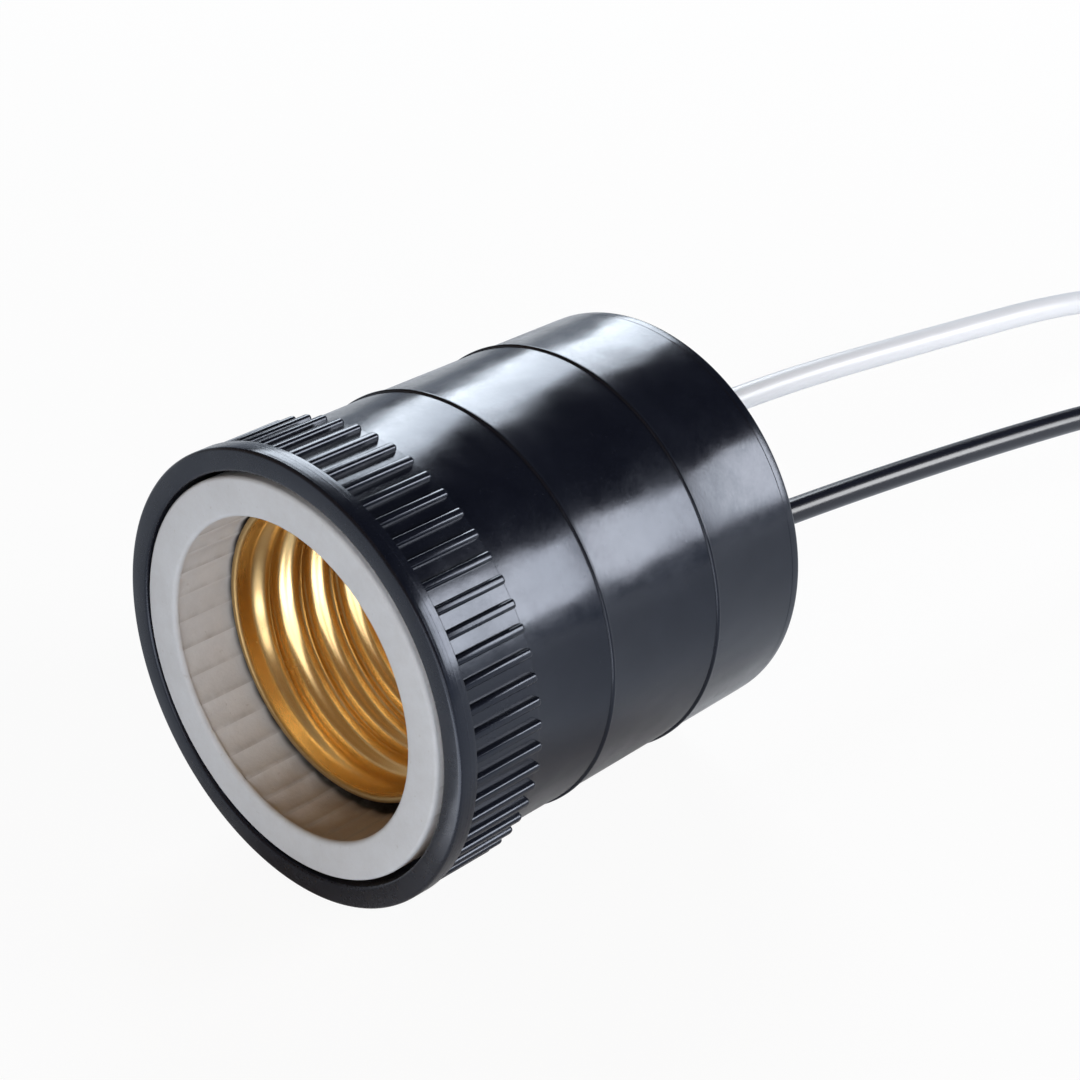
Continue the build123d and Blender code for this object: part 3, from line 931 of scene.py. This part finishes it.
class LAMPSOCKET_OT_contacts(bpy.types.Operator):
    """Finish the spring contact, rivets, lugs, washer and inner conductors"""

    bl_idname = "lampsocket.contacts"
    bl_label = "Contacts"

    def execute(self, context):
        spring = metal_finish(
            "contact_bronze", bright=(0.80, 0.58, 0.34), dark=(0.66, 0.42, 0.20), roughness=0.24,
            line_size=0.00035,
        )
        rivet = metal_finish(
            "rivet_brass", bright=(0.86, 0.66, 0.36), dark=(0.68, 0.46, 0.20), roughness=0.28,
            line_size=0.0003,
        )
        plated = metal_finish(
            "plated_steel", bright=(0.66, 0.66, 0.66), dark=(0.48, 0.48, 0.49), roughness=0.32,
            line_size=0.0003,
        )
        strands = strand_finish()
        for node in ("contact_button", "centre_rivet", "shell_rivet_lug", "shell_rivet_washer"):
            dress(node, rivet)
        for node in ("rivet_washer", "neutral_lug", "live_lug"):
            dress(node, plated)
        for node in ("white_conductor", "black_conductor"):
            dress(node, strands)
        leaf = bmesh.new()
        leaf.from_mesh(frame["nodes"]["centre_leaf"].data)
        bmesh.ops.remove_doubles(leaf, verts=leaf.verts[:], dist=MERGE_DISTANCE)
        piece = finished("contact_leaf", leaf, spring, "contact_metal", body=None, sharp=30.0)
        leaf_angle = radians(30.0)
        toward = Vector((cos(leaf_angle), 0.0, sin(leaf_angle)))
        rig.blend(piece, "socket", "contact", start=toward * 0.0048, end=toward * 0.0017)
        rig.replaces(piece, "centre_leaf")
        return {"FINISHED"}


class LAMPSOCKET_OT_leads(bpy.types.Operator):
    """Lay the two leads and twist the strands of their stripped ends"""

    bl_idname = "lampsocket.leads"
    bl_label = "Leads"

    white_route = (
        (-0.005, 0.033, 0.0036),
        (-0.005, 0.04445, 0.0036),
        (-0.0035, 0.06145, 0.0038),
        (-0.0005, 0.08345, 0.0026),
        (0.002, 0.10745, 0.0006),
        (0.0015, 0.13045, -0.0065),
        (-0.004, 0.15245, -0.0155),
        (-0.0115, 0.17145, -0.01925),
        (-0.0185, 0.18745, -0.01925),
    )
    black_route = (
        (0.005, 0.033, -0.0036),
        (0.005, 0.04445, -0.0036),
        (0.0072, 0.06145, -0.004),
        (0.0095, 0.08245, -0.0055),
        (0.0119, 0.10345, -0.0076),
        (0.015, 0.12545, -0.013),
        (0.0184, 0.14545, -0.0182),
        (0.0214, 0.16245, -0.01925),
        (0.0243, 0.17845, -0.01925),
    )

    def execute(self, context):
        settings = context.scene.lamp_socket.leads
        strands = strand_finish()
        white = insulation_finish(
            "pale_insulation", main=settings.white, pale=(0.81, 0.83, 0.87), roughness=0.34
        )
        black = insulation_finish(
            "black_insulation", main=settings.black, pale=(0.009, 0.011, 0.021), roughness=0.26
        )
        white_cut = 0.161
        black_cut = 0.148
        self.lead("white_lead", self.white_route, white, "white_insulation", white_cut, strands, settings)
        self.lead("black_lead", self.black_route, black, "black_insulation", black_cut, strands, settings)
        return {"FINISHED"}

    def lead(self, name, route, material, slot, cut, strands, settings):
        """One insulated lead along its route, with its stripped end."""
        line = bpy.data.curves.new(name + "_insulation", "CURVE")
        line.dimensions = "3D"
        spline = line.splines.new("NURBS")
        spline.points.add(len(route) - 1)
        for point, place in zip(spline.points, route):
            point.co = (*place, 1.0)
        spline.order_u = 3
        spline.use_endpoint_u = True
        spline.resolution_u = 16
        line.bevel_depth = settings.diameter / 2
        line.bevel_resolution = 8
        line.use_fill_caps = True
        line.materials.append(material)
        piece = bpy.data.objects.new(name + "_insulation", line)
        bpy.context.scene.collection.objects.link(piece)
        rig.slot(piece, slot)
        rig.ride(piece, "socket")
        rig.replaces(piece, name)
        end = self.stripped_end(name.replace("lead", "bare_end"), route, strands, settings)
        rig.cord(
            piece, exit=(route[0][0], housing_high.y, route[0][2]), length=cut, diameter=settings.diameter,
            far_end="bare", stiffness="stiff", lay="loose", with_pieces=[end],
        )

    def stripped_end(self, node, route, material, settings):
        """Seven strands twisted about the end of the lead."""
        radius = settings.strand_radius
        steps = 20
        around = 6
        turn_angle = tau * settings.strip_length / settings.lay_length
        bm = bmesh.new()
        upright = Matrix.Rotation(radians(90.0), 4, "X")
        for k in range(around + 1):
            offset = 0.0 if k == around else 2 * radius
            angle = k * tau / around
            place = Matrix.Translation((offset * cos(angle), 0.0, offset * sin(angle)))
            before = set(bm.verts)
            bmesh.ops.create_circle(bm, cap_ends=False, radius=radius, segments=10, matrix=place @ upright)
            ring = [vert for vert in bm.verts if vert not in before]
            edges = {edge for vert in ring for edge in vert.link_edges}
            grown = bmesh.ops.spin(
                bm, geom=ring + list(edges), cent=ORIGIN, axis=AXIS, angle=turn_angle, steps=steps,
                dvec=(0.0, settings.strip_length / steps, 0.0),
            )["geom_last"]
            tip = [item for item in grown if isinstance(item, bmesh.types.BMEdge)]
            bmesh.ops.edgeloop_fill(bm, edges=tip)
        close(bm)
        end = Vector(route[-1])
        direction = (end - Vector(route[-2])).normalized()
        turned = direction.to_track_quat("Y", "Z").to_matrix().to_4x4()
        bmesh.ops.transform(bm, matrix=Matrix.Translation(end) @ turned, verts=bm.verts[:])
        piece = finished(node + "_strands", bm, material, "tinned_copper")
        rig.replaces(piece, node)
        return piece


class LAMPSOCKET_OT_stage(bpy.types.Operator):
    """Set the floor, the soft lights and the camera"""

    bl_idname = "lampsocket.stage"
    bl_label = "Stage"

    def execute(self, context):
        settings = context.scene.lamp_socket.stage
        context.scene.view_settings.view_transform = "Standard"
        self.floor()
        self.surroundings(context.scene)
        tint = settings.cool
        self.softbox(
            "softbox_right", toward=(0.686, 0.660, 0.350), across=(-0.46, 0.0, 0.888), distance=0.70,
            size=(0.30, 0.30), power=settings.right, tint=tint,
        )
        self.softbox(
            "softbox_left", toward=(-0.600, 0.612, 0.512), across=(-0.656, 0.0, -0.755), distance=0.70,
            size=(0.33, 0.32), power=settings.left, tint=settings.blue,
        )
        # The fill lights without being mirrored, and the cards are mirrored without lighting
        fill = self.softbox(
            "front_fill", toward=(0.58, -0.81, 0.05), across=(0.81, 0.58, 0.0), distance=0.60,
            size=(0.60, 0.30), power=settings.fill, tint=tint,
        )
        fill.visible_glossy = False
        front_card = self.softbox(
            "front_card", toward=(0.53, -0.85, 0.08), across=(0.85, 0.53, 0.0), distance=0.60,
            size=(0.78, 0.16), power=settings.card, tint=tint,
        )
        near_panel = self.panel(
            "near_panel", across=(0.003, 0.060), along=(-0.060, -0.020), power=settings.near, tint=tint
        )
        far_panel = self.panel(
            "far_panel", across=(0.005, 0.085), along=(-0.150, -0.060), power=settings.far, tint=tint
        )
        for card in (front_card, near_panel, far_panel):
            card.visible_diffuse = False
        self.camera(context.scene, settings.lens)
        return {"FINISHED"}

    def floor(self):
        """A wide pale floor that reads as white, keeps the socket's shadow, and glows in reflections away from it as
        painted light.
        """
        half_width = 3.0
        bm = bmesh.new()
        level = Matrix.Translation((0.0, 0.0, cad_low.z))
        bmesh.ops.create_grid(bm, x_segments=1, y_segments=1, size=half_width, matrix=level)
        mesh = bpy.data.meshes.new("floor")
        bm.to_mesh(mesh)
        bm.free()
        finish = new_finish("pale_floor")
        rays = finish.add("ShaderNodeLightPath", out="Is Camera Ray")
        plain = finish.maths("MAXIMUM", rays, rays.other("Is Transmission Ray"))
        about = finish.add(
            "ShaderNodeMapping",
            sockets={"Vector": finish.place(), "Location": (0.0, -0.014, 0.0), "Scale": (1.0, 0.87, 0.0)},
        )
        away = finish.add("ShaderNodeVectorMath", {"operation": "LENGTH"}, {0: about}, out="Value")
        # Glossy rays see the floor glow in a cooler white only away from the socket, a painted glow for mirrored
        # surfaces; near the socket they see the lit floor and its shadow.
        open_floor = finish.mask(away, 0.021, 0.042)
        mirrored = rays.other("Is Glossy Ray")
        plain_share = 0.93
        mirrored_share = 0.56
        plain_white = (1.0, 1.0, 1.0, 1.0)
        mirrored_white = (0.82, 0.90, 1.0, 1.0)
        matt_white = (0.92, 0.92, 0.92, 1.0)
        seen = finish.maths("MAXIMUM", plain * plain_share, mirrored * open_floor * mirrored_share)
        glow = finish.mix(mirrored, plain_white, mirrored_white)
        matt = finish.add("ShaderNodeBsdfDiffuse", sockets={"Color": matt_white})
        white = finish.add("ShaderNodeEmission", sockets={"Color": glow, "Strength": 1.0})
        both = finish.add("ShaderNodeMixShader", sockets={0: seen, 1: matt, 2: white})
        finish.add("ShaderNodeOutputMaterial", sockets={"Surface": both})
        mesh.materials.append(finish.owner)
        plane = bpy.data.objects.new("floor", mesh)
        bpy.context.scene.collection.objects.link(plane)
        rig.stage(plane)

    def surroundings(self, scene):
        """A pale room with a dark ceiling, which is warmer and lighter in front of the socket."""
        world = bpy.data.worlds.new("studio")
        scene.world = world
        finish = Finish(world)
        direction = finish.add("ShaderNodeTexCoord", out="Generated")
        _, along, up = finish.parts(direction)
        rear_wall = (0.42, 0.48, 0.58, 1.0)
        rear_ceiling = (0.03, 0.032, 0.04, 1.0)
        front_wall = (0.36, 0.33, 0.30, 1.0)
        front_ceiling = (0.20, 0.13, 0.07, 1.0)
        rear = finish.mix(finish.mask(up, 0.06, 0.34), rear_wall, rear_ceiling)
        front = finish.mix(finish.mask(up, 0.05, 0.32), front_wall, front_ceiling)
        shade = finish.mix(finish.mask(along, 0.25, -0.35), rear, front)
        back = finish.add("ShaderNodeBackground", sockets={"Color": shade, "Strength": 1.0})
        finish.add("ShaderNodeOutputWorld", sockets={"Surface": back})

    def panel(self, name, across, along, power, tint):
        """A glowing panel that lies on the floor between two places across and two along."""
        lift = 0.0004
        size = (across[1] - across[0], along[1] - along[0])
        middle = (sum(across) / 2, sum(along) / 2, cad_low.z + lift)
        place = Matrix.Translation(middle) @ Matrix.Rotation(pi, 4, "X")
        return self.light(name, place, size, power, tint)

    def softbox(self, name, toward, across, distance, size, power, tint):
        """A rectangular light at a distance from the socket, facing it."""
        middle = Vector((0.0, 0.016, 0.0))
        outward = Vector(toward).normalized()
        side = (Vector(across) - outward * outward.dot(Vector(across))).normalized()
        upright = outward.cross(side)
        turned = Matrix((side, upright, outward)).transposed().to_4x4()
        place = Matrix.Translation(middle + outward * distance) @ turned
        return self.light(name, place, size, power, tint)

    def light(self, name, place, size, power, tint):
        """A rectangular light at a place."""
        lamp = bpy.data.lights.new(name, "AREA")
        lamp.shape = "RECTANGLE"
        lamp.size, lamp.size_y = size
        lamp.energy = power
        lamp.color = tint
        light = bpy.data.objects.new(name, lamp)
        light.matrix_world = place
        bpy.context.scene.collection.objects.link(light)
        return light

    def camera(self, scene, lens):
        """The photograph's point of view."""
        data = bpy.data.cameras.new("camera")
        data.lens = lens
        data.sensor_width = 36.0
        data.clip_start = 0.01
        view = bpy.data.objects.new("camera", data)
        right = Vector((0.7195, 0.6945, 0.0)).normalized()
        forward = Vector((-0.6124, 0.6345, -0.4717)).normalized()
        upward = right.cross(forward)
        place = (0.14280, -0.12386, 0.11181)
        turned = Matrix((right, upward, -forward)).transposed().to_4x4()
        view.matrix_world = Matrix.Translation(place) @ turned
        scene.collection.objects.link(view)
        scene.camera = view


class LAMPSOCKET_PT_panel(bpy.types.Panel):
    """Operators and settings of the lamp socket"""

    bl_idname = "LAMPSOCKET_PT_panel"
    bl_label = "Screw lamp socket"
    bl_space_type = "VIEW_3D"
    bl_region_type = "UI"
    bl_category = "Lamp socket"

    def draw(self, context):
        settings = context.scene.lamp_socket
        groups = {
            LAMPSOCKET_OT_housing: settings.housing,
            LAMPSOCKET_OT_core: settings.core,
            LAMPSOCKET_OT_shell: settings.shell,
            LAMPSOCKET_OT_contacts: None,
            LAMPSOCKET_OT_leads: settings.leads,
            LAMPSOCKET_OT_stage: settings.stage,
        }
        for operator, group in groups.items():
            box = self.layout.box()
            box.operator(operator.bl_idname)
            for name in group.bl_rna.properties.keys() if group else ():
                if name not in ("rna_type", "name"):
                    box.prop(group, name)


classes = (
    HousingSettings,
    CoreSettings,
    ShellSettings,
    LeadSettings,
    StageSettings,
    SocketSettings,
    LAMPSOCKET_OT_housing,
    LAMPSOCKET_OT_core,
    LAMPSOCKET_OT_shell,
    LAMPSOCKET_OT_contacts,
    LAMPSOCKET_OT_leads,
    LAMPSOCKET_OT_stage,
    LAMPSOCKET_PT_panel,
)


def register():
    for item in classes:
        bpy.utils.register_class(item)
    bpy.types.Scene.lamp_socket = PointerProperty(type=SocketSettings)


def unregister():
    del bpy.types.Scene.lamp_socket
    for item in reversed(classes):
        bpy.utils.unregister_class(item)


def main():
    register()
    bpy.ops.lampsocket.stage()
    bpy.ops.lampsocket.leads()
    bpy.ops.lampsocket.housing()
    bpy.ops.lampsocket.core()
    bpy.ops.lampsocket.shell()
    bpy.ops.lampsocket.contacts()
    low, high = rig.bounds()
    sizes = {"cad": [list(cad_low), list(cad_high)], "visual": [list(low), list(high)]}
    with open(SIZE_FILE, "w") as out:
        json.dump(sizes, out)


if __name__ == "__main__":
    main()
